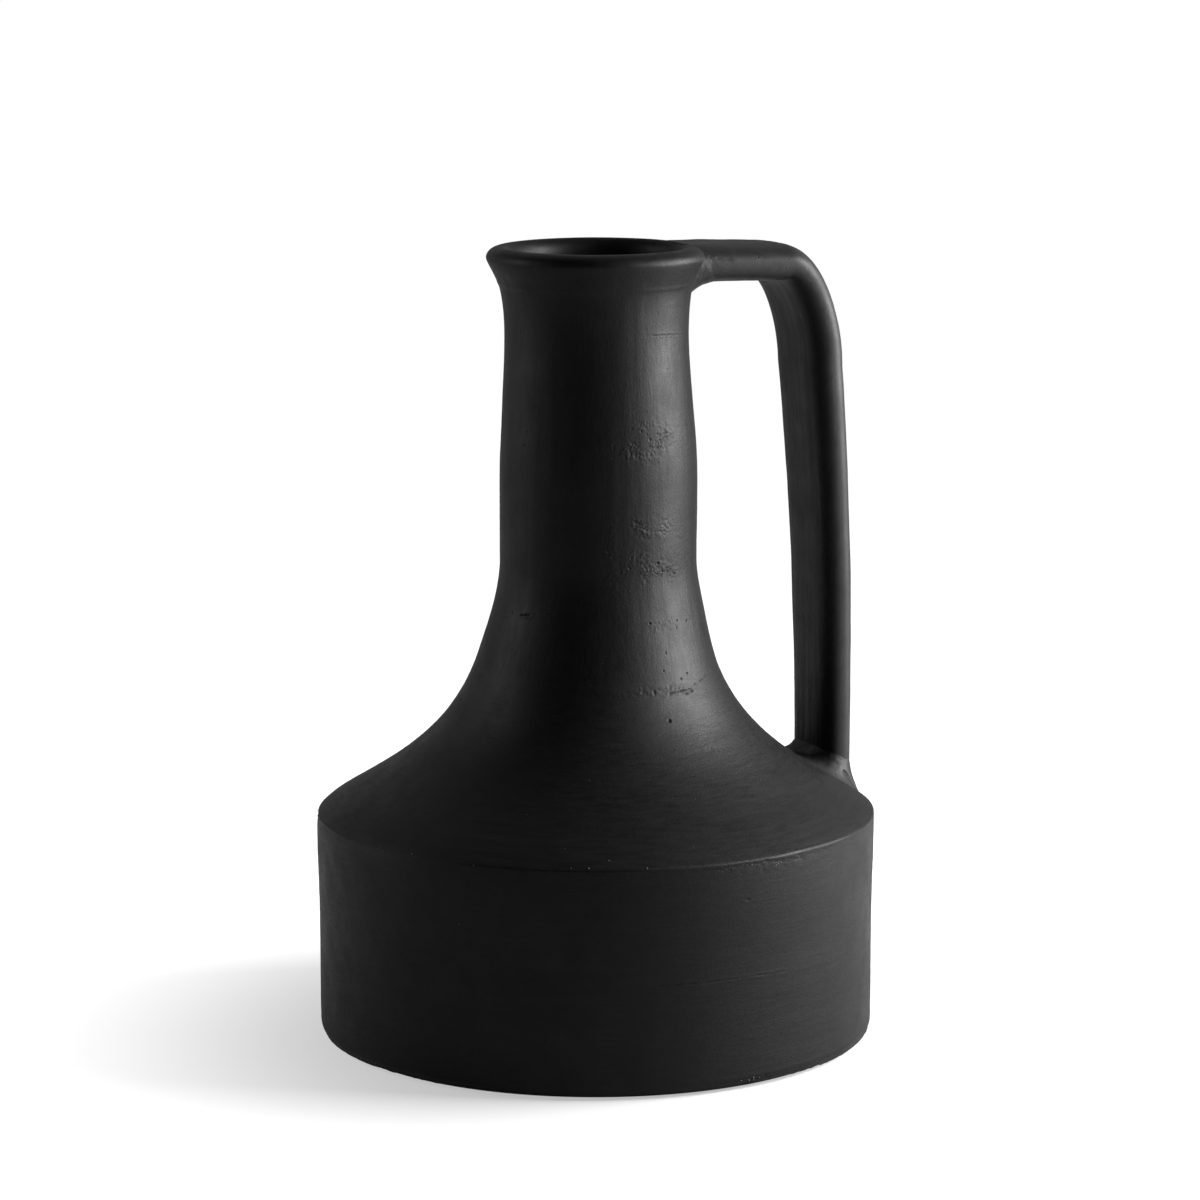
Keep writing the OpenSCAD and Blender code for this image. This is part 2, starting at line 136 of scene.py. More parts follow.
# Grooves on the strap and wads: from one place to another in mm, half width and depth. Below 0 they stand up.
STRAP_LINES = np.array([
    (43.3, -23, 317.4, 49, -23.2, 316.6, 0.5, 0.22), (41.7, -24.6, 316.2, 42.3, -24.6, 315.8, 0.8, -0.12),
    (43.5, -24.2, 314.9, 45.3, -23.8, 313.6, 0.8, -0.12), (59.8, -18.4, 321.6, 67.8, -19.4, 320.4, 0.8, -0.32),
    (103.6, -21, 101.8, 108.4, -22.9, 94.6, 0.85, 0.6), (91, -14, 296, 92.4, -12, 293.4, 0.55, 0.3),
])


def to_linear(code):
    """Turns an sRGB hex colour into linear red, green, blue and a full alpha."""
    parts = [int(code[i:i + 2], 16) / 255 for i in (0, 2, 4)]
    return [p / 12.92 if p <= 0.04045 else ((p + 0.055) / 1.055) ** 2.4 for p in parts] + [1.0]


class VaseBody(bpy.types.PropertyGroup):
    sectors: IntProperty(
        name="Sectors", description="Columns of each turned skin", default=720, min=90, max=760)
    lean: FloatProperty(
        name="Neck lean", description="How far the neck stands off the drum's axis at most",
        default=0.0012, min=0, max=0.004, precision=4, **LENGTH)
    ring_depth: FloatProperty(
        name="Throwing rings", description="Depth of the rings left by the potter's fingers",
        default=0.00005, min=0, max=0.0005, precision=5, **LENGTH)
    dent_depth: FloatProperty(
        name="Hand dents", description="Depth of the broad dents left by the hands",
        default=0.00016, min=0, max=0.0006, precision=5, **LENGTH)


class VaseHandle(bpy.types.PropertyGroup):
    pull_depth: FloatProperty(
        name="Pull marks", description="Depth of the long grooves from pulling the strap",
        default=0.00008, min=0, max=0.0005, precision=5, **LENGTH)
    upper_reach: FloatProperty(
        name="Upper wad reach", description="How far the upper wad runs out along the arm",
        default=0.013, min=0.006, max=0.015, **LENGTH)
    lower_reach: FloatProperty(
        name="Lower wad reach", description="How far the lower wad runs up the strap",
        default=0.0145, min=0.006, max=0.018, **LENGTH)


class VaseFinish(bpy.types.PropertyGroup):
    slip: FloatVectorProperty(
        name="Slip", description="Colour of the fired black slip", default=to_linear("0d0d0d"), **COLOUR)
    worn: FloatVectorProperty(
        name="Worn slip", description="Colour where strokes and edges have thinned the slip",
        default=to_linear("171717"), **COLOUR)
    # The strap's colours are lighter than the body's slip as painted light, so that the strap renders brighter
    strap: FloatVectorProperty(
        name="Strap slip", description="Colour of the thin, dry slip on the strap and wads",
        default=to_linear("1c1c1c"), **COLOUR)
    strap_worn: FloatVectorProperty(
        name="Worn strap slip", description="Colour of the strap's slip where it is worn",
        default=to_linear("272727"), **COLOUR)
    clay: FloatVectorProperty(
        name="Clay", description="Colour of the bare fired clay under the slip",
        default=to_linear("8a8780"), **COLOUR)
    floor: FloatVectorProperty(
        name="Floor", description="Colour of the studio floor", default=to_linear("aaaaaa"), **COLOUR)


class VaseStage(bpy.types.PropertyGroup):
    distance: FloatProperty(
        name="Camera distance", description="Level distance from the axis to the camera",
        default=1.80883, min=0.5, max=10, **LENGTH)
    height: FloatProperty(
        name="Camera height", description="Height of the camera above the floor",
        default=0.49223, min=0, max=5, **LENGTH)
    key: FloatProperty(
        name="Key light", description="Watts of the softbox on the right",
        default=26, min=0, max=200, unit="POWER")
    fill: FloatProperty(
        name="Side light", description="Watts of the softbox on the left",
        default=4.6, min=0, max=200, unit="POWER")
    mirrored: FloatProperty(
        name="Mirrored paper", description="How bright glossy surfaces see the white paper",
        default=0.32, min=0, max=1, subtype="FACTOR")


class VaseSettings(bpy.types.PropertyGroup):
    body: PointerProperty(name="Body", description="Turned sections", type=VaseBody)
    handle: PointerProperty(name="Handle", description="Strap and wads", type=VaseHandle)
    finish: PointerProperty(name="Finish", description="Colours", type=VaseFinish)
    stage: PointerProperty(name="Stage", description="Camera and lights", type=VaseStage)


def ease(value):
    """Goes from 0 to 1 with level ends, as 3 t squared less 2 t cubed, on a value held between 0 and 1."""
    t = np.clip(value, 0.0, 1.0)
    return t * t * (3 - 2 * t)


def noise(place, cell, seed):
    """Random values from -1 to 1 on a cubic lattice of this cell, blended between corners by a quintic ease."""
    table = np.random.default_rng(seed).uniform(-1.0, 1.0, (32, 32, 32))
    spot = place / cell + 512.37
    low = np.floor(spot).astype(np.int64)
    t = spot - low
    t = t * t * t * (t * (t * 6 - 15) + 10)
    total = np.zeros(place.shape[:-1])
    for corner in np.ndindex(2, 2, 2):
        weight = np.prod(np.where(corner, t, 1 - t), axis=-1)
        index = (low + corner) % 32
        total += weight * table[index[..., 0], index[..., 1], index[..., 2]]
    return total


def pulled(low, low_slope, high, high_slope, pulls, count=240):
    """A cubic curve from low to high. Each end is drawn out along its slope by its share of the rise."""
    low, high = np.array(low, float), np.array(high, float)
    rise = high[1] - low[1]
    a = low + np.array([low_slope, 1.0]) * rise * pulls[0]
    b = high - np.array([high_slope, 1.0]) * rise * pulls[1]
    t = np.linspace(0, 1, count)[:, None]
    return low * (1 - t) ** 3 + 3 * a * (1 - t) ** 2 * t + 3 * b * (1 - t) * t ** 2 + high * t ** 3


def arc(centre, reach, rise, start, stop, count=80):
    """Points on a quarter of an ellipse or less: the centre plus reach times cosine and rise times sine."""
    t = np.radians(np.linspace(start, stop, count))
    return np.stack([centre[0] + reach * np.cos(t), centre[1] + rise * np.sin(t)], -1)


def across(point, slope, wall):
    """The point inside the wall, square to the wall's line."""
    return np.array(point) + np.array([-1.0, slope]) * wall / math.hypot(1.0, slope)


def inner_seam(point, slope):
    """The inner edge of a neck seam, which lies lower than the outer edge."""
    return across(point, slope, NECK_WALL) - (0.0, SEAM_BEVEL)


CREASE_TURN = math.atan(-SHOULDER_SLOPE)
CREASE_MID = (DRUM_TOP_R - CREASE_ROUND, TOP_OF["drum_wall"] - CREASE_ROUND * math.sin(CREASE_TURN))
CREASE = (CREASE_MID[0] + CREASE_ROUND * math.cos(CREASE_TURN), TOP_OF["drum_wall"])
ROOT, NECK = (ROOT_R, TOP_OF["shoulder"]), (NECK_R, TOP_OF["neck_root"])
MID, WAIST = (MID_R, TOP_OF["mid_neck"]), (WAIST_R, WAIST_Z)
RIM, LIP = (RIM_R, TOP_OF["upper_neck"]), (LIP_R, LIP_Z)
# The outline's places from the crease up, each with its slope
PLACES = ((CREASE, SHOULDER_SLOPE), (ROOT, ROOT_SLOPE), (NECK, 0), (MID, MID_SLOPE), (WAIST, 0),
          (RIM, RIM_SLOPE), (LIP, 0))


def unit(vectors):
    """The same directions with a length of 1."""
    return vectors / np.linalg.norm(vectors, axis=-1, keepdims=True)


def run_along(line):
    """How far along a line each of its points lies."""
    return np.concatenate([[0.0], np.cumsum(np.hypot(*np.diff(line, axis=0).T))])


def curves(places):
    """The curves from each place to the next, drawn out by the outline's shares."""
    return [pulled(low, low_slope, high, high_slope, pulls)
            for (low, low_slope), (high, high_slope), pulls in zip(places, places[1:], PULLS)]


def outer_line():
    """The body's outline from the edge of the base to the crest: foot, drum, crease, shoulder, neck and lip."""
    swell_z = TOP_OF["drum_wall"] * 0.38
    parts = [
        arc((DRUM_R - FOOT_ROUND, FOOT_ROUND), FOOT_ROUND, FOOT_ROUND, -90, 0),
        np.linspace((DRUM_R, FOOT_ROUND + 0.1), (DRUM_R, swell_z - 0.1), 120),
        pulled((DRUM_R, swell_z), 0, (DRUM_TOP_R, CREASE_MID[1]), 0, (0.7, 0.54)),
        arc(CREASE_MID, CREASE_ROUND, CREASE_ROUND, 0, math.degrees(CREASE_TURN)),
        *curves(PLACES),
        arc((CREST_R, LIP_Z), LIP_R - CREST_R, CREST_Z - LIP_Z, 0, 90),
    ]
    line = np.concatenate(parts)
    step = np.hypot(*np.diff(line, axis=0).T)
    return line[np.concatenate([[True], step > 1e-6])]


LINE = outer_line()
RUN = run_along(LINE)


def at_run(run):
    """The outline's radius and height at places along it."""
    return np.interp(run, RUN, LINE[:, 0]), np.interp(run, RUN, LINE[:, 1])


def run_at(height):
    """How far along the outline a height lies."""
    return np.interp(height, LINE[:, 1], RUN)


def radius_at(height):
    """The body's outer radius at a height."""
    return np.interp(height, LINE[:, 1], LINE[:, 0])


def height_on_shoulder(radius):
    """The height of the shoulder's or crease's surface at a radius."""
    part = LINE[(LINE[:, 1] > CREASE_MID[1]) & (LINE[:, 1] < TOP_OF["shoulder"])][::-1]
    return np.interp(radius, part[:, 0], part[:, 1])


def rows_between(low, high, count, focus=()):
    """Places along the outline from low to high, closer together near each focus given as place and reach."""
    fine = np.linspace(low, high, 2000)
    weight = np.ones_like(fine) + sum(2.2 * np.exp(-((fine - place) / reach) ** 2) for place, reach in focus)
    total = np.concatenate([[0.0], np.cumsum((weight[1:] + weight[:-1]) / 2)])
    return np.interp(np.linspace(0, total[-1], count), total, fine)


def azimuths(count):
    """Azimuths right round in radians, a little closer together on the front."""
    u = np.arange(count) / count * 2 * math.pi
    front = math.radians(FRONT)
    return u - 0.2 * np.sin(u - front)


def lean_at(height, most):
    """How far the neck stands off the axis: it sets off above the shoulder and comes back under the rim."""
    return most * (ease((height - 148) / 36) - 0.62 * ease((height - 238) / 54)
                   - 0.3 * ease((height - 284) / 30))


def past(degrees, at):
    """How many degrees azimuths lie past another one, the shorter way round."""
    return (degrees - at + 180) % 360 - 180


def skin(azimuth, run, body):
    """Relief of the outer skin in mm, outward positive, and from 0 to 1 how much painted shade lies in its
    pits, cracks, torn clay and the foot's undercut strip.

    It adds broad hand dents, rings that run round, upright strokes on the neck, bell-shaped pits with a
    faint raised edge, bell-shaped grooves along the cracks, and torn clay in the rough patches.
    """
    radius, height = at_run(run)
    azimuth, run = np.broadcast_arrays(azimuth[None, :], run[:, None])
    radius, height = np.broadcast_to(radius[:, None], run.shape), np.broadcast_to(height[:, None], run.shape)
    c, s = np.cos(azimuth), np.sin(azimuth)
    place = np.stack([radius * c, radius * s, height], -1)
    on_neck = ease((height - 140) / 30)
    relief = body.dent_depth / MM * (noise(place, 30, 1) + 0.45 * noise(place, 12, 2) * (0.5 + 0.5 * on_neck))
    rings = noise(np.stack([7 * c, 7 * s, run + azimuth * 0.4], -1), 3.4, 3)
    rings += 0.5 * noise(np.stack([5 * c, 5 * s, run], -1), 1.5, 4)
    relief += body.ring_depth / MM * rings * (1 - 0.55 * on_neck)
    strokes = noise(np.stack([radius * c, radius * s, height * 0.10], -1), 3.2, 5)
    relief += 0.045 * on_neck * strokes + 0.012 * noise(place, 1.6, 6)

    degrees = np.degrees(azimuth)
    jag = 0.28 * np.stack([noise(place, 1.3, 7), noise(place, 1.3, 8)], -1)
    # deep is painted shade: the finish paints the pits, cracks, torn clay and the foot's strip darker by it
    deep = np.zeros(run.shape)
    rng = np.random.default_rng(11)
    seams = rng.choice([149.5, 175.0, 195.0, 206.0, 248.0, 290.0], 70) + rng.normal(0, 2.4, 70)
    more = np.stack([rng.uniform(-30, 200, 70), seams, rng.uniform(0.35, 0.7, 70),
                     rng.uniform(0.12, 0.34, 70)], -1)
    for at, high, wide, depth in np.concatenate([PITS, more]):
        east = radius * np.radians(past(degrees, at))
        north = run - run_at(high)
        away = np.hypot(east + 0.3 * jag[..., 0], north + 0.3 * jag[..., 1]) / (0.65 * wide)
        bell = np.exp(-away ** 2 * 1.1)
        relief = relief - depth * bell + 0.14 * depth * np.exp(-((away - 1.7) / 0.5) ** 2)
        deep = np.maximum(deep, bell * min(1.0, depth * 2.6))
    for places, wide, depth in CRACKS:
        spots = np.array(places)
        for (a0, z0), (a1, z1) in zip(spots[:-1], spots[1:]):
            east = radius * np.radians(past(degrees, a0)) + jag[..., 0]
            north = run - run_at(z0) + jag[..., 1]
            along = np.stack([radius * math.radians(a1 - a0), np.full(run.shape, run_at(z1) - run_at(z0))], -1)
            share = np.clip((east * along[..., 0] + north * along[..., 1]) / np.sum(along ** 2, -1), 0, 1)
            away = np.hypot(east - share * along[..., 0], north - share * along[..., 1]) / (0.75 * wide)
            bell = np.exp(-away ** 2) * ease(0.6 + 1.5 * noise(place, 2.4, 18))
            relief = relief - 0.5 * depth * bell + 0.2 * depth * np.exp(-((away - 2.4) / 1.2) ** 2)
            deep = np.maximum(deep, bell * min(1.0, depth * 3.0))
    torn = noise(place * (1, 1, 1.3), 1.1, 9) + 0.8 * noise(place, 0.65, 10)
    broken = ease(0.5 + noise(place, 4.5, 15))
    for at, high, wide, tall, depth in ROUGH:
        east = radius * np.radians(past(degrees, at)) / wide
        north = (run - run_at(high)) / tall
        amount = np.exp(-(east ** 2 + north ** 2)) * broken
        relief += 0.55 * depth * amount * torn
        deep = np.maximum(deep, amount * ease((-torn - 0.55) / 0.6) * min(1.0, depth * 2.2))
    lap = ease(1.4 - np.abs(past(degrees, -78)) / 22)
    ragged = run - run_at(TOP_OF["drum_wall"] - 1.4) + 0.9 * noise(place, 3.0, 12) + 0.5 * noise(place, 1.1, 13)
    relief += 0.16 * lap * np.tanh(ragged / 0.3) * np.exp(-(ragged / 3.0) ** 2)
    relief += 0.1 * np.exp(-((run - run_at(307.5) - 0.3 * noise(place, 9, 14)) / 0.9) ** 2)
    room = ease((BOX_LIMIT_R - radius + 0.35) / 1.1)
    relief = relief * (0.6 + 0.4 * room) - 0.2 * (1 - room)
    # The crease is worn round on the side away from the handle
    worn = ease(1.5 - np.abs(past(degrees, -190)) / 40)
    relief -= 0.6 * worn * np.exp(-((run - run_at(TOP_OF["drum_wall"])) / 3.5) ** 2)
    # The foot was trimmed by hand: a ragged edge low down, over a narrow undercut strip that is painted nearly
    # black as contact shadow
    edge = run - 5.0 - 0.8 * noise(place, 7, 16) - 0.35 * noise(place, 2.0, 17)
    near_foot = ease(1.6 - run / 9)
    relief += near_foot * (0.4 * np.exp(-(edge / 0.5) ** 2) - 0.7 * ease(-edge / 0.7))
    deep = np.maximum(deep, 0.9 * near_foot * ease(-edge / 0.5))
    chip = np.hypot(radius * np.radians(degrees + 80.5) / 4.6, (run - 4.6) / 1.5)
    relief -= 0.85 * np.exp(-chip ** 2) * (0.7 + 0.5 * torn)
    return relief * ease(run / 1.6) * ease((CREST_Z + 0.8 - height) / 3), deep


def outer_skin(run, azimuth, body):
    """Places of the outer skin in mm: the outline turned round the axis, moved out by the relief and leaned."""
    relief, deep = skin(azimuth, run, body)
    at = np.stack(at_run(run), -1)
    way = unit(np.stack(at_run(run + 0.05), -1) - np.stack(at_run(run - 0.05), -1))
    radius = at[:, 0, None] + relief * way[:, 1, None]
    height = at[:, 1, None] - relief * way[:, 0, None]
    radius, height = np.minimum(radius, BOX_LIMIT_R), np.clip(height, 0.0, BOX_LIMIT_Z)
    return leaned(radius, height, azimuth, body), deep


def inner_skin(line, count, azimuth, body, ridge=0.18):
    """Places of the inner skin in mm: the inner line turned round the axis, with finger ridges that climb."""
    run = run_along(line)
    rows = np.linspace(0, run[-1], count)
    radius, height = np.interp(rows, run, line[:, 0])[:, None], np.interp(rows, run, line[:, 1])[:, None]
    ends = ease(rows / 4)[:, None] * ease((run[-1] - rows) / 4)[:, None]
    wave = np.sin(2 * math.pi * (height / 8.5) + azimuth[None, :])
    return leaned(radius + ridge * ends * wave, height, azimuth, body)


def leaned(radius, height, azimuth, body):
    """Turns radii and heights into places, set off sideways by the lean of the neck."""
    off = lean_at(height, body.lean / MM)
    x = radius * np.cos(azimuth) + off * math.cos(math.radians(VIEW_TURN))
    y = radius * np.sin(azimuth) + off * math.sin(math.radians(VIEW_TURN))
    return np.stack([x, y, np.broadcast_to(height, x.shape)], -1)


def between(first, last, count):
    """Rings between two rings, evenly spaced, without the two."""
    t = (np.arange(count) + 1)[:, None, None] / (count + 1)
    return first * (1 - t) + last * t


def linked(name, data):
    """A new object with this data, put into the scene."""
    made = bpy.data.objects.new(name, data)
    bpy.context.scene.collection.objects.link(made)
    return made


def mesh_piece(name, rings, closed, deep, material, node):
    """Joins rings of points into a closed mesh: a torus if closed, or else with a fan at each end.

    The skin attribute holds painted shade: from 0 to 1, how much the finish darkens and roughens each point in
    pits, cracks and other hollows.
    """
    rows, columns = rings.shape[:2]
    low = np.arange(rows if closed else rows - 1)[:, None] * columns
    high = (low + columns) % (rows * columns)
    here = np.arange(columns)
    after = (here + 1) % columns
    quads = np.stack([low + here, low + after, high + after, high + here], -1).reshape(-1, 4)
    faces, points = quads.tolist(), rings.reshape(-1, 3)
    if not closed:
        points = np.concatenate([points, rings[0].mean(0)[None], rings[-1].mean(0)[None]])
        last = (rows - 1) * columns
        near = np.stack([np.full(columns, rows * columns), after, here], -1)
        far = np.stack([np.full(columns, rows * columns + 1), last + here, last + after], -1)
        faces += near.tolist() + far.tolist()
        deep = np.concatenate([deep.reshape(-1), [0.0, 0.0]])
    p, q, r, s = points[quads.T]
    volume = np.sum(np.cross(p, q) * r) + np.sum(np.cross(p, r) * s)
    if volume < 0:
        faces = [face[::-1] for face in faces]
    mesh = bpy.data.meshes.new(name)
    mesh.from_pydata((points * MM).tolist(), [], faces)
    mesh.attributes.new("skin", "FLOAT", "POINT").data.foreach_set("value", deep.reshape(-1).astype(np.float32))
    mesh.shade_smooth()
    mesh.set_sharp_from_angle(angle=math.radians(50))
    mesh.materials.append(material)
    piece = linked(name, mesh)
    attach(piece, "root")
    if node:
        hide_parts(node)
    return piece


def turned_wall(name, low_z, high_z, rows, focus, inner, inner_rows, body, material):
    """A turned section: outer skin, upper seam, inner skin and lower seam, joined into one closed wall."""
    azimuth = azimuths(body.sectors)
    run = rows_between(run_at(low_z), run_at(high_z), rows, [(run_at(z), reach) for z, reach in focus])
    outside, deep = outer_skin(run, azimuth, body)
    inside = inner_skin(inner, inner_rows, azimuth, body)
    top, bottom = between(outside[-1], inside[-1], 3), between(inside[0], outside[0], 3)
    rings = np.concatenate([outside, top, inside[::-1], bottom])
    pits = np.concatenate([deep, np.zeros((inner_rows + 6, len(azimuth)))])
    return mesh_piece("vase_" + name, rings, True, pits, material, name)


def strap_line():
    """The strap's middle line in x and z: out of the neck, round a squared bend and down to the shoulder."""
    a = np.radians(np.linspace(0, 90, 200))
    bend = np.stack([BEND_X + BEND_REACH * np.sin(a) ** 1.11, BEND_Z - BEND_FALL * (1 - np.cos(a) ** 1.11)], -1)
    t = np.linspace(0, 1, 200)
    low_z = BEND_Z - BEND_FALL
    run = np.stack([STRAP_FOOT_X - STRAP_LEAN * (1 - t) ** 2, low_z + (HELD_FOOT_Z - low_z) * t], -1)
    arm = np.linspace((HELD_ROOT_X, ARM_Z), (BEND_X, BEND_Z), 40)
    return np.concatenate([arm[:-1], bend[:-1], run])


def oval(angle, half_w, half_t):
    """A flat section with round edges: signed powers of cosine, 0.5, and sine, 0.85, times the half sizes."""
    c, s = np.cos(angle), np.sin(angle)
    return half_w * np.sign(c) * np.abs(c) ** 0.5, half_t * np.sign(s) * np.abs(s) ** 0.85


def round_oval(count):
    """Angles that space points evenly round such a section three times as wide as it is thick."""
    fine = np.linspace(0, 2 * math.pi, 40001)
    run = run_along(np.stack(oval(fine, 3.0, 1.0), -1))
    return np.interp(np.arange(count) / count * run[-1], run, fine)


def grooves(place):
    """Depth in mm of the grooves near each place: a bell across each line, and nothing past its ends."""
    total = np.zeros(place.shape[:-1])
    for line in STRAP_LINES:
        start, way = line[:3], line[3:6] - line[:3]
        share = np.clip((place - start) @ way / (way @ way), 0, 1)
        away = np.linalg.norm(place - start - share[..., None] * way, axis=-1) / line[6]
        total += line[7] * np.exp(-away ** 2)
    return total


def strap_skin(place, way_run, handle):
    """Relief of the strap in mm: long pull marks, soft dents, grooves and pits, and from 0 to 1 the painted
    shade in the grooves and pits.
    """
    drawn_out = 0.05
    grain = np.concatenate([place[..., 1:2], (place[..., :1] + place[..., 2:]) * drawn_out,
                            way_run[..., None] * drawn_out], -1)
    relief = handle.pull_depth / MM * (noise(grain, 3.5, 21) + 0.4 * noise(grain, 1.6, 22))
    relief += 0.16 * noise(place, 22, 23) + 0.07 * noise(place, 8, 24) + 0.02 * noise(place, 2.2, 25)
    cut = grooves(place)
    relief -= cut
    deep = np.clip(cut * 1.2, 0.0, 0.8)
    for x, y, z, wide, depth in STRAP_PITS:
        away = np.linalg.norm(place - (x, y, z), axis=-1) / wide
        bell = np.exp(-away ** 2)
        relief -= depth * bell
        deep = np.maximum(deep, bell * min(1.0, depth * 2.6))
    return relief, deep


def strap_rings(handle, sides=176):
    """Rings of the strap from just inside the rim to just inside the shoulder, with their relief."""
    line = strap_line()
    run = run_along(line)
    rows = np.linspace(0, run[-1], 470)
    x, z = np.interp(rows, run, line[:, 0]), np.interp(rows, run, line[:, 1])
    way = np.stack([np.gradient(x), np.gradient(z)], -1)
    way[0], way[-1] = (1.0, 0.0), (0.0, -1.0)
    way = unit(way)
    share = (rows / run[-1])[:, None]
    angle = round_oval(sides)
    wide, thick = oval(angle[None, :], ROOT_HALF_W + (FOOT_HALF_W - ROOT_HALF_W) * share,
                       ROOT_HALF_T + (FOOT_HALF_T - ROOT_HALF_T) * share)
    middle = np.stack([x[:, None] - way[:, 1, None] * thick, wide, z[:, None] + way[:, 0, None] * thick], -1)
    root, foot = middle[0], middle[-1]
    bed = root.copy()
    bed[:, 0] = np.sqrt((radius_at(root[:, 2]) - BITE) ** 2 - root[:, 1] ** 2)
    seat = foot.copy()
    seat[:, 2] = height_on_shoulder(np.hypot(foot[:, 0], foot[:, 1])) - BITE
    rings = np.concatenate([bed[None], between(bed, root, 18), middle, between(foot, seat, 30), seat[None]])
    after, before = np.roll(rings, -1, 1), np.roll(rings, 1, 1)
    out = unit(np.cross(np.gradient(rings, axis=0), after - before))
    centre = rings.mean(1, keepdims=True)
    out *= np.sign(np.sum(out * (rings - centre), -1, keepdims=True))
    way_run = np.broadcast_to(np.arange(len(rings))[:, None] * 0.5, rings.shape[:2])
    relief, deep = strap_skin(rings, way_run, handle)
    held = ease(np.arange(len(rings)) / 3)[:, None]
    rings = rings + out * (relief * (held * held[::-1]))[..., None]
    rings[..., 2] = np.minimum(rings[..., 2], BOX_LIMIT_Z)
    return rings, deep


FILLET_ROWS = 60


def fillet(reach, sink):
    """A hollow fillet's closed section: a quarter circle that dips into strap and body, and back inside."""
    t = np.linspace(0, math.pi / 2, FILLET_ROWS)
    along = (reach + sink) * (1 - np.sin(t)) - sink
    out = 1 - np.cos(t) - 0.07 * np.cos(t) ** 4
    back = np.linspace(0, 1, 6)[1:-1]
    along = np.concatenate([along, np.full(4, -sink), [-sink - 0.3], -sink + (reach + sink) * back])
    out = np.concatenate([out, 1 - back * 1.08, [-0.12], np.full(4, -0.1)])
    return along, out


def smear(place, amount, seed):
    """Moves points by the lumps and drags of clay smeared on with a thumb."""
    push = noise(place, 6, seed) * 0.35 + noise(place, 2.2, seed + 1) * 0.13
    return (push + noise(place, 1.0, seed + 2) * 0.05) * amount


def wad(name, place_at, reach, stretch, amount_w, amount_t, half_w, half_t, material, seed):
    """A wad round the strap: the fillet, carried round its section, stretched, lumped and dragged."""
    angle = round_oval(300)
    along, out = fillet(reach, 0.8)
    out = out[:, None]
    wide, thick = oval(angle[None, :], half_w + amount_w * out, half_t + amount_t(angle)[None, :] * out)
    tall = np.where(along[:, None] > 0, stretch(angle)[None, :], 1.0) * along[:, None]
    rings = place_at(wide, thick, tall)
    shown = np.zeros(len(along))
    shown[:FILLET_ROWS] = np.sin(np.linspace(0, math.pi, FILLET_ROWS))
    push = smear(rings, shown[:, None], seed) - grooves(rings) * (shown[:, None] > 0)
    rings = rings + unit(rings - rings.mean((0, 1))) * push[..., None]
    # The strap's flattened top lies at the limit: the wad stays a little under it, so that no faces coincide
    rings[..., 2] = np.minimum(rings[..., 2], BOX_LIMIT_Z - 0.12)
    # Where the smear pushes in, the wad is painted darker as shade in its hollows
    return mesh_piece("vase_" + name, rings, True, np.clip(-push * 1.2, 0, 0.5), material, name)


def cleared(owner):
    """The node tree of a material or world, switched on and emptied."""
    owner.use_nodes = True
    owner.node_tree.nodes.clear()
    return owner.node_tree


def add(tree, kind, inputs=None, **settings):
    """Adds one node with its settings. An input is a value, a socket, or a node for its first output."""
    made = tree.nodes.new("ShaderNode" + kind)
    for name, value in settings.items():
        setattr(made, name, value)
    for key, value in (inputs or {}).items():
        if isinstance(value, bpy.types.Node):
            value = value.outputs[0]
        if isinstance(value, bpy.types.NodeSocket):
            tree.links.new(value, made.inputs[key])
        else:
            made.inputs[key].default_value = value
    return made


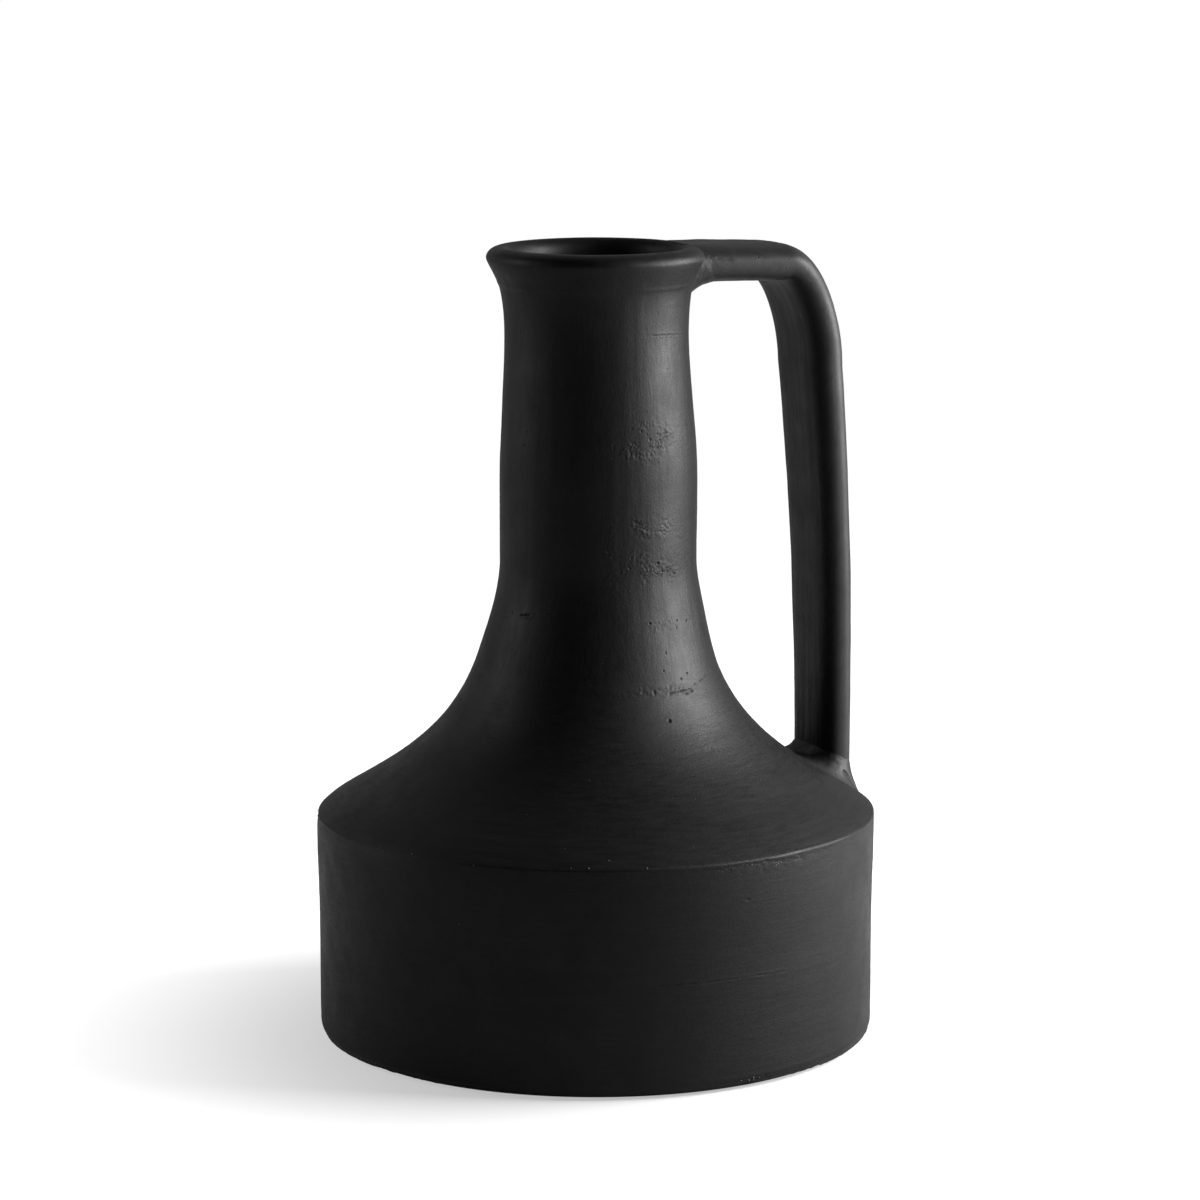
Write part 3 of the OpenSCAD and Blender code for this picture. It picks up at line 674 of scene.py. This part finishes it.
def brushed_slip(name, slip, worn, stroke, cross, lengthwise, sheen):
    """Black slip brushed on leather-hard clay and rubbed: a matt, nearly black skin with a low broad sheen.

    Stroke gives how far the pattern reaches sideways, cross and lengthwise its width and length in mm, and
    sheen how strongly the rubbed surface reflects.
    """
    material = bpy.data.materials.new(name)
    tree = cleared(material)
    place = add(tree, "TexCoord").outputs["Object"]
    # The brush's strokes follow the turned wall: the direction from the axis, times a radius, and the height
    level = add(tree, "VectorMath", {0: place, 1: (1, 1, 0)}, operation="MULTIPLY")
    round_way = add(tree, "VectorMath", {0: level}, operation="NORMALIZE")
    reach = add(tree, "VectorMath", {0: round_way, 1: (stroke * MM,) * 3}, operation="MULTIPLY")
    upright = add(tree, "VectorMath", {0: place, 1: (0, 0, cross / lengthwise)}, operation="MULTIPLY")
    grain = add(tree, "VectorMath", {0: reach, 1: upright}, operation="ADD")
    strokes = add(tree, "TexNoise", {"Vector": grain, "Scale": 1 / (cross * MM), "Detail": 3, "Roughness": 0.6})
    # Grog and grit in the clay, half a millimetre to a millimetre across
    grit = add(tree, "TexNoise", {"Vector": place, "Scale": 1 / (0.9 * MM), "Detail": 3, "Roughness": 0.65})
    # Cloudy patches where the slip went on thicker, about 14 mm across
    cloud = add(tree, "TexNoise", {"Vector": place, "Scale": 1 / (14 * MM), "Detail": 4, "Roughness": 0.55})
    # Pinholes where air came through the slip, a grid of about 6 mm with most places left empty
    holes = add(tree, "TexVoronoi", {"Vector": place, "Scale": 1 / (5.5 * MM), "Randomness": 1})
    near = add(tree, "MapRange", {"Value": holes, "From Min": 0.03, "From Max": 0.075,
                                  "To Min": 1, "To Max": 0}, interpolation_type="SMOOTHSTEP")
    some = add(tree, "Math", {0: holes.outputs["Color"], 1: 0.62}, operation="GREATER_THAN")
    pinhole = add(tree, "Math", {0: near, 1: some}, operation="MULTIPLY")
    # Pinholes and the hollows in the skin attribute are painted nearly black as shade, and roughened
    deep = add(tree, "Attribute", attribute_name="skin")
    hollow = add(tree, "Math", {0: pinhole, 1: deep.outputs["Fac"]}, operation="MAXIMUM")

    streak = add(tree, "MapRange", {"Value": strokes, "From Min": 0.35, "From Max": 0.75})
    patch = add(tree, "MapRange", {"Value": cloud, "From Min": 0.3, "From Max": 0.7})
    thin = add(tree, "Math", {0: streak, 1: patch}, operation="MULTIPLY")
    tint = add(tree, "Mix", {"Factor": thin, "A": tuple(slip), "B": tuple(worn)}, data_type="RGBA")
    # The slip's tint, with painted shade in the hollows
    tint_with_painted_shade = add(tree, "Mix", {"Factor": hollow, "A": tint.outputs["Result"],
                             "B": (0.001, 0.001, 0.001, 1.0)}, data_type="RGBA")

    gloss = add(tree, "MapRange", {"Value": patch, "To Min": 0.52, "To Max": 0.42})
    dulled = add(tree, "Math", {0: streak, 1: 0.08, 2: gloss}, operation="MULTIPLY_ADD")
    rough = add(tree, "Math", {0: hollow, 1: 0.3, 2: dulled}, operation="MULTIPLY_ADD", use_clamp=True)

    lines = add(tree, "Bump", {"Height": strokes, "Distance": 0.1 * MM, "Strength": 0.55})
    gritty = add(tree, "Bump", {"Height": grit, "Distance": 0.13 * MM, "Strength": 0.6, "Normal": lines})
    pricked = add(tree, "Bump", {"Height": pinhole, "Distance": 0.25 * MM, "Strength": 0.9,
                                 "Normal": gritty}, invert=True)
    shader = add(tree, "BsdfPrincipled", {"Base Color": tint_with_painted_shade.outputs["Result"], "Roughness": rough,
                                          "IOR": 1.5, "Specular IOR Level": sheen, "Normal": pricked})
    add(tree, "OutputMaterial", {"Surface": shader})
    return material


def dry_clay(name, finish):
    """Bare fired clay, dry and open: dull, a little lighter than the slip, with a sandy grain."""
    material = bpy.data.materials.new(name)
    tree = cleared(material)
    place = add(tree, "TexCoord").outputs["Object"]
    sand = add(tree, "TexNoise", {"Vector": place, "Scale": 1 / (0.6 * MM), "Detail": 4, "Roughness": 0.6})
    wash = add(tree, "TexNoise", {"Vector": place, "Scale": 1 / (9 * MM), "Detail": 3})
    mixed = add(tree, "Math", {0: sand, 1: wash}, operation="MULTIPLY")
    share = add(tree, "MapRange", {"Value": mixed, "From Min": 0.1, "From Max": 0.45})
    tint = add(tree, "Mix", {"Factor": share, "A": tuple(finish.worn), "B": tuple(finish.clay)},
               data_type="RGBA")
    relief = add(tree, "Bump", {"Height": sand, "Distance": 0.15 * MM, "Strength": 0.8})
    shader = add(tree, "BsdfPrincipled", {"Base Color": tint.outputs["Result"], "Roughness": 0.85, "IOR": 1.5,
                                          "Specular IOR Level": 0.25, "Normal": relief})
    add(tree, "OutputMaterial", {"Surface": shader})
    return material


def finish_of(name, settings):
    """The finish with this name, made the first time it is asked for."""
    if name in bpy.data.materials:
        return bpy.data.materials[name]
    colours = settings.finish
    # The strap's slip is painted lighter than the body's: painted light, for the brighter light the strap
    # catches
    slips = {"brushed_slip_upright": (colours.slip, colours.worn, 40, 0.9, 7, 0.16),
             "brushed_slip_level": (colours.slip, colours.worn, 9, 0.9, 0.9, 0.16),
             "pulled_slip": (colours.strap, colours.strap_worn, 60, 1, 8, 0.18)}
    return brushed_slip(name, *slips[name]) if name in slips else dry_clay(name, colours)


def mirrored_paper(tree, share):
    """The light path, and the share of the white paper's brightness that glossy surfaces see."""
    path = add(tree, "LightPath")
    return path, add(tree, "Math", {0: path.outputs["Is Glossy Ray"], 1: share}, operation="MULTIPLY")


class VASE_OT_foot(bpy.types.Operator):
    """Makes the floor slab with its rounded and chipped foot"""
    bl_idname = "vase.press_foot"
    bl_label = "Foot slab"

    def execute(self, context):
        vase = context.scene.vase
        azimuth = azimuths(vase.body.sectors)
        run = rows_between(0.0, run_at(TOP_OF["base_slab"]), 56)
        outside, deep = outer_skin(run, azimuth, vase.body)
        under, over = outside[0].copy(), outside[-1].copy()
        disc = np.array([0.02, 0.1, 0.3, 0.55, 0.8, 0.93, 0.985])[:, None, None]
        bottom = under[None] * disc * (1, 1, 0)
        top = over[None] * disc[::-1] * (1, 1, 0) + (0, 0, TOP_OF["base_slab"])
        rings = np.concatenate([bottom, outside, top])
        blank = np.zeros((len(disc), len(azimuth)))
        mesh_piece("vase_base_slab", rings, False, np.concatenate([blank, deep, blank]),
                   finish_of("brushed_slip_level", vase), "base_slab")
        return {"FINISHED"}


class VASE_OT_walls(bpy.types.Operator):
    """Turns the drum, the shoulder and the three sections of the neck"""
    bl_idname = "vase.turn_walls"
    bl_label = "Turned walls"

    def execute(self, context):
        vase = context.scene.vase
        level, upright = finish_of("brushed_slip_level", vase), finish_of("brushed_slip_upright", vase)
        under = across(CREASE, SHOULDER_SLOPE, SHOULDER_WALL)
        corner = np.array([DRUM_INNER_R, under[1] + (under[0] - DRUM_INNER_R) / -SHOULDER_SLOPE])
        climb = corner + np.array([SHOULDER_SLOPE, 1.0]) / math.hypot(SHOULDER_SLOPE, 1.0) * COIL_LEG
        inner = [(climb, SHOULDER_SLOPE)] + [(inner_seam(*place), place[1]) for place in PLACES[1:-1]]
        bell, root, neck, waist, rim = curves(inner)
        base = TOP_OF["base_slab"]
        turned_wall("drum_wall", base, CREASE[1], 120, ((90, 4), (45, 2), (76.6, 1.5)),
                    np.array([(DRUM_INNER_R, base), corner]), 12, vase.body, level)
        turned_wall("shoulder", CREASE[1], ROOT[1], 120, ((92.5, 3), (137.8, 2), (149, 4)),
                    np.concatenate([corner[None], bell]), 12, vase.body, level)
        turned_wall("neck_root", ROOT[1], NECK[1], 116, ((153, 4), (176, 4), (195, 4)),
                    root, 16, vase.body, upright)
        turned_wall("mid_neck", NECK[1], MID[1], 116, ((197, 5), (213, 4), (246, 5)),
                    neck, 16, vase.body, upright)
        turned_wall("upper_neck", MID[1], RIM[1], 112, ((249, 5), (289, 3), (305, 3)),
                    np.concatenate([waist, rim[1:]]), 20, vase.body, upright)
        return {"FINISHED"}


class VASE_OT_rim(bpy.types.Operator):
    """Rolls the lip over, from its collar to the mouth's inner edge"""
    bl_idname = "vase.roll_rim"
    bl_label = "Rolled rim"

    def execute(self, context):
        vase = context.scene.vase
        azimuth = azimuths(vase.body.sectors)
        run = rows_between(run_at(RIM[1]), RUN[-1], 84, ((run_at(307.5), 2), (run_at(316), 4)))
        outside, deep = outer_skin(run, azimuth, vase.body)
        roll = arc((CREST_R, MOUTH_Z), CREST_R - MOUTH_R, CREST_Z - 0.1 - MOUTH_Z, 90, 180)
        low = inner_seam(RIM, RIM_SLOPE)
        inner = np.concatenate([pulled(low, RIM_SLOPE, (MOUTH_R, MOUTH_Z), 0, (0.35, 0.35)), roll[::-1][1:]])
        inside = inner_skin(inner, 44, azimuth, vase.body, ridge=0.08)
        bottom = between(inside[0], outside[0], 3)
        rings = np.concatenate([outside, inside[::-1], bottom])
        mesh_piece("vase_rim", rings, True, np.concatenate([deep, np.zeros((47, len(azimuth)))]),
                   finish_of("brushed_slip_level", vase), "rim")
        return {"FINISHED"}


class VASE_OT_handle(bpy.types.Operator):
    """Pulls the strap handle"""
    bl_idname = "vase.pull_handle"
    bl_label = "Strap handle"

    def execute(self, context):
        vase = context.scene.vase
        rings, deep = strap_rings(vase.handle)
        mesh_piece("vase_handle", rings, False, deep, finish_of("pulled_slip", vase), "handle")
        return {"FINISHED"}


class VASE_OT_wads(bpy.types.Operator):
    """Smears wads of clay round the strap's two ends"""
    bl_idname = "vase.smear_wads"
    bl_label = "Wads"

    def execute(self, context):
        vase = context.scene.vase
        material = finish_of("pulled_slip", vase)

        def by_rim(wide, thick, along):
            height = np.minimum(ARM_Z + thick, CREST_Z - 0.1)
            return np.stack([np.sqrt(radius_at(height) ** 2 - wide ** 2) + along, wide, height], -1)

        def by_shoulder(wide, thick, along):
            x = STRAP_FOOT_X + thick
            return np.stack([x, wide, height_on_shoulder(np.hypot(x, wide)) + along], -1)

        wad("upper_wad", by_rim, vase.handle.upper_reach / MM,
            lambda a: 0.6 + 0.4 * ease(-np.sin(a) * 1.3), 0.8,
            lambda a: 7.5 * ease(-np.sin(a) * 1.3), ROOT_HALF_W, ROOT_HALF_T, material, 31)
        # The lower wad is broad behind the strap and thin in front, where it runs a little further up
        wad("lower_wad", by_shoulder, vase.handle.lower_reach / MM, lambda a: 1.0 + 0.15 * np.sin(a), 9.5,
            lambda a: 2.8 + 10.0 * ease(0.5 - np.sin(a)), FOOT_HALF_W, FOOT_HALF_T, material, 41)
        return {"FINISHED"}


class VASE_OT_crumbs(bpy.types.Operator):
    """Scatters the crumbs of clay that stuck along the crease and on the foot"""
    bl_idname = "vase.drop_crumbs"
    bl_label = "Crumbs"

    def execute(self, context):
        vase = context.scene.vase
        rng = np.random.default_rng(7)
        line = [(rng.normal(-76, 9), rng.normal(89.9, 1.1), rng.uniform(0.2, 0.48)) for _ in range(110)]
        back = [(rng.uniform(-50, 230), rng.normal(91, 0.8), rng.uniform(0.2, 0.4)) for _ in range(60)]
        foot = [(rng.normal(-80.5, 1.6), rng.normal(4.2, 0.8), rng.uniform(0.25, 0.5)) for _ in range(9)]
        seen = [(-121.6, 91.5, 0.35), (-118.7, 92.7, 0.35), (-115.3, 92.7, 0.35), (-111.2, 95, 0.3),
                (-103.8, 92.4, 0.5), (-108.1, 89.4, 0.35), (-77.5, 89.7, 0.6), (-74.6, 88.1, 0.55),
                (-51.7, 92.1, 0.45), (-141.8, 67.5, 0.3), (-69.1, 126.3, 0.35), (-59.2, 113.3, 0.3)]
        spots = np.array(line + back + foot + seen)
        azimuth, run, size = np.radians(spots[:, 0]), run_at(spots[:, 1]), spots[:, 2]
        radius, height = at_run(run)
        radius = np.minimum(radius, BOX_LIMIT_R - size * 1.1)
        centre = np.stack([radius * np.cos(azimuth), radius * np.sin(azimuth), np.maximum(height, size)], -1)
        gold = (1 + 5 ** 0.5) / 2
        four = np.array([(a, b * gold, 0) for b in (1, -1) for a in (-1, 1)])
        corners = np.concatenate([np.roll(four, k, 1) for k in range(3)]) / math.hypot(1, gold)
        sides = np.array([(0, 11, 5), (0, 5, 1), (0, 1, 7), (0, 7, 10), (0, 10, 11), (1, 5, 9), (5, 11, 4),
                          (11, 10, 2), (10, 7, 6), (7, 1, 8), (3, 9, 4), (3, 4, 2), (3, 2, 6), (3, 6, 8),
                          (3, 8, 9), (4, 9, 5), (2, 4, 11), (6, 2, 10), (8, 6, 7), (9, 8, 1)])
        lumps = corners[None] * rng.uniform(0.6, 1.1, (len(spots), 12, 1))
        lumps = lumps * rng.uniform(0.6, 1.2, (len(spots), 1, 3))
        points = (centre[:, None] + lumps * size[:, None, None]).reshape(-1, 3)
        faces = (sides[None] + 12 * np.arange(len(spots))[:, None, None]).reshape(-1, 3)
        mesh = bpy.data.meshes.new("clay_crumbs")
        mesh.from_pydata((points * MM).tolist(), [], faces.tolist())
        mesh.shade_smooth()
        mesh.materials.append(finish_of("dry_clay", vase))
        piece = linked("clay_crumbs", mesh)
        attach(piece, "root")
        return {"FINISHED"}


class VASE_OT_coils(bpy.types.Operator):
    """Finishes the two coils pressed into the inside corners"""
    bl_idname = "vase.finish_coils"
    bl_label = "Inside coils"

    def execute(self, context):
        material = finish_of("dry_clay", context.scene.vase)
        for name in ("floor_coil", "crease_coil"):
            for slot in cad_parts[name].material_slots:
                slot.material = material
        return {"FINISHED"}


class VASE_OT_stage(bpy.types.Operator):
    """Sets the floor, the backdrop, the lights and the camera"""
    bl_idname = "vase.set_stage"
    bl_label = "Stage"

    def execute(self, context):
        vase = context.scene.vase
        mesh = bpy.data.meshes.new("studio_floor")
        turn = np.arange(96) / 96 * 2 * math.pi
        rim = np.stack([np.cos(turn), np.sin(turn), 0 * turn], -1) * 40.0
        mesh.from_pydata(rim.tolist(), [], [list(range(96))])
        linked("studio_floor", mesh)
        # Seamless pale paper: it takes the object's shadow and shows white to the camera
        paper = bpy.data.materials.new("seamless_paper")
        tree = cleared(paper)
        path, mirrored = mirrored_paper(tree, vase.stage.mirrored)
        seen = add(tree, "Math", {0: path.outputs["Is Camera Ray"], 1: mirrored}, operation="MAXIMUM")
        shown = add(tree, "Math", {0: seen, 1: path.outputs["Is Transmission Ray"]}, operation="MAXIMUM")
        # The paper's glow is painted light: full further out and weaker beside the vase, round a point a little
        # off the axis, so that the shadow shows darker there and fades further away; beside the vase the rest
        # is left to the softboxes
        centred = add(tree, "VectorMath", {0: add(tree, "TexCoord").outputs["Object"], 1: (0.042, -0.034, 0)},
                      operation="SUBTRACT")
        spot = add(tree, "VectorMath", {0: centred}, operation="LENGTH")
        painted_glow_ramp = add(tree, "MapRange", {"Value": spot.outputs["Value"], "From Min": 0.11, "From Max": 0.31,
                                      "To Min": 0.46, "To Max": 1}, interpolation_type="SMOOTHSTEP")
        lift = add(tree, "Math", {0: shown, 1: painted_glow_ramp}, operation="MULTIPLY")
        glow = add(tree, "Emission", {"Color": WHITE, "Strength": lift})
        matt = add(tree, "BsdfDiffuse", {"Color": tuple(vase.finish.floor)})
        both = add(tree, "AddShader", {0: glow, 1: matt})
        add(tree, "OutputMaterial", {"Surface": both})
        mesh.materials.append(paper)

        # A white backdrop behind the vase and a dim room on the camera's side
        world = bpy.data.worlds.new("studio")
        tree = cleared(world)
        way = add(tree, "TexCoord").outputs["Generated"]
        turn = math.radians(-VIEW_TURN)
        behind = add(tree, "VectorMath", {0: way, 1: (math.sin(turn), math.cos(turn), 0)},
                     operation="DOT_PRODUCT")
        white = add(tree, "MapRange", {"Value": behind.outputs["Value"], "From Min": 0.1, "From Max": 0.7})
        path, mirrored = mirrored_paper(tree, vase.stage.mirrored)
        bent = add(tree, "Math", {0: mirrored, 1: path.outputs["Is Transmission Ray"]}, operation="MAXIMUM")
        backed = add(tree, "Math", {0: bent, 1: white}, operation="MULTIPLY")
        shown = add(tree, "Math", {0: path.outputs["Is Camera Ray"], 1: backed}, operation="MAXIMUM")
        room = add(tree, "Background", {"Color": WHITE, "Strength": 0.01})
        paper = add(tree, "Background", {"Color": WHITE, "Strength": 1})
        mixed = add(tree, "MixShader", {0: shown, 1: room, 2: paper})
        add(tree, "OutputWorld", {"Surface": mixed})
        context.scene.world = world

        # Softboxes: degrees to the right of the camera, then distance, height, width, length and watts
        boxes = {"key_softbox": (90, 0.8, 0.42, 0.54, 0.6, vase.stage.key),
                 "side_softbox": (-95, 1.2, 0.6, 0.6, 0.9, vase.stage.fill)}
        for name, (right, away, high, wide, tall, watts) in boxes.items():
            lamp = bpy.data.lights.new(name, "AREA")
            lamp.shape, lamp.size, lamp.size_y, lamp.energy = "RECTANGLE", wide, tall, watts
            box = linked(name, lamp)
            turn = math.radians(right - 90 + VIEW_TURN)
            box.location = (away * math.cos(turn), away * math.sin(turn), high)
            box.rotation_euler = (math.pi / 2 - math.atan2(high - 0.2, away), 0.0, turn + math.pi / 2)
            box.visible_camera = False

        camera = bpy.data.cameras.new("studio_camera")
        camera.lens, camera.sensor_width = LENS, SENSOR
        camera.clip_end = 100.0
        eye = linked("studio_camera", camera)
        turn = math.radians(VIEW_TURN)
        eye.location = (math.sin(turn) * vase.stage.distance + math.cos(turn) * ASIDE,
                        -math.cos(turn) * vase.stage.distance + math.sin(turn) * ASIDE, vase.stage.height)
        eye.rotation_euler = (math.pi / 2 - LOOK_DOWN, 0.0, turn)
        context.scene.camera = eye
        context.scene.view_settings.view_transform = "Standard"
        return {"FINISHED"}


OPERATORS = (VASE_OT_foot, VASE_OT_walls, VASE_OT_rim, VASE_OT_handle, VASE_OT_wads, VASE_OT_crumbs,
             VASE_OT_coils, VASE_OT_stage)


class VASE_PT_bench(bpy.types.Panel):
    """Lists the vase's sizes, colours and pieces"""
    bl_idname = "VASE_PT_bench"
    bl_label = "Earthenware Vase"
    bl_space_type = "VIEW_3D"
    bl_region_type = "UI"
    bl_category = "Vase"

    def draw(self, context):
        layout = self.layout
        vase = context.scene.vase
        for group in (vase.body, vase.handle, vase.finish, vase.stage):
            box = layout.box()
            for name in group.bl_rna.properties.keys():
                if name not in ("rna_type", "name"):
                    box.prop(group, name)
        for operator in OPERATORS:
            layout.operator(operator.bl_idname)


CLASSES = (VaseBody, VaseHandle, VaseFinish, VaseStage, VaseSettings) + OPERATORS + (VASE_PT_bench,)


def register():
    for one in CLASSES:
        bpy.utils.register_class(one)
    bpy.types.Scene.vase = PointerProperty(name="Vase", description="The vase's settings", type=VaseSettings)


def unregister():
    del bpy.types.Scene.vase
    for one in reversed(CLASSES):
        bpy.utils.unregister_class(one)


def main():
    register()
    bpy.ops.vase.set_stage()
    bpy.ops.vase.press_foot()
    bpy.ops.vase.turn_walls()
    bpy.ops.vase.roll_rim()
    bpy.ops.vase.pull_handle()
    bpy.ops.vase.smear_wads()
    bpy.ops.vase.drop_crumbs()
    bpy.ops.vase.finish_coils()


if __name__ == "__main__":
    main()
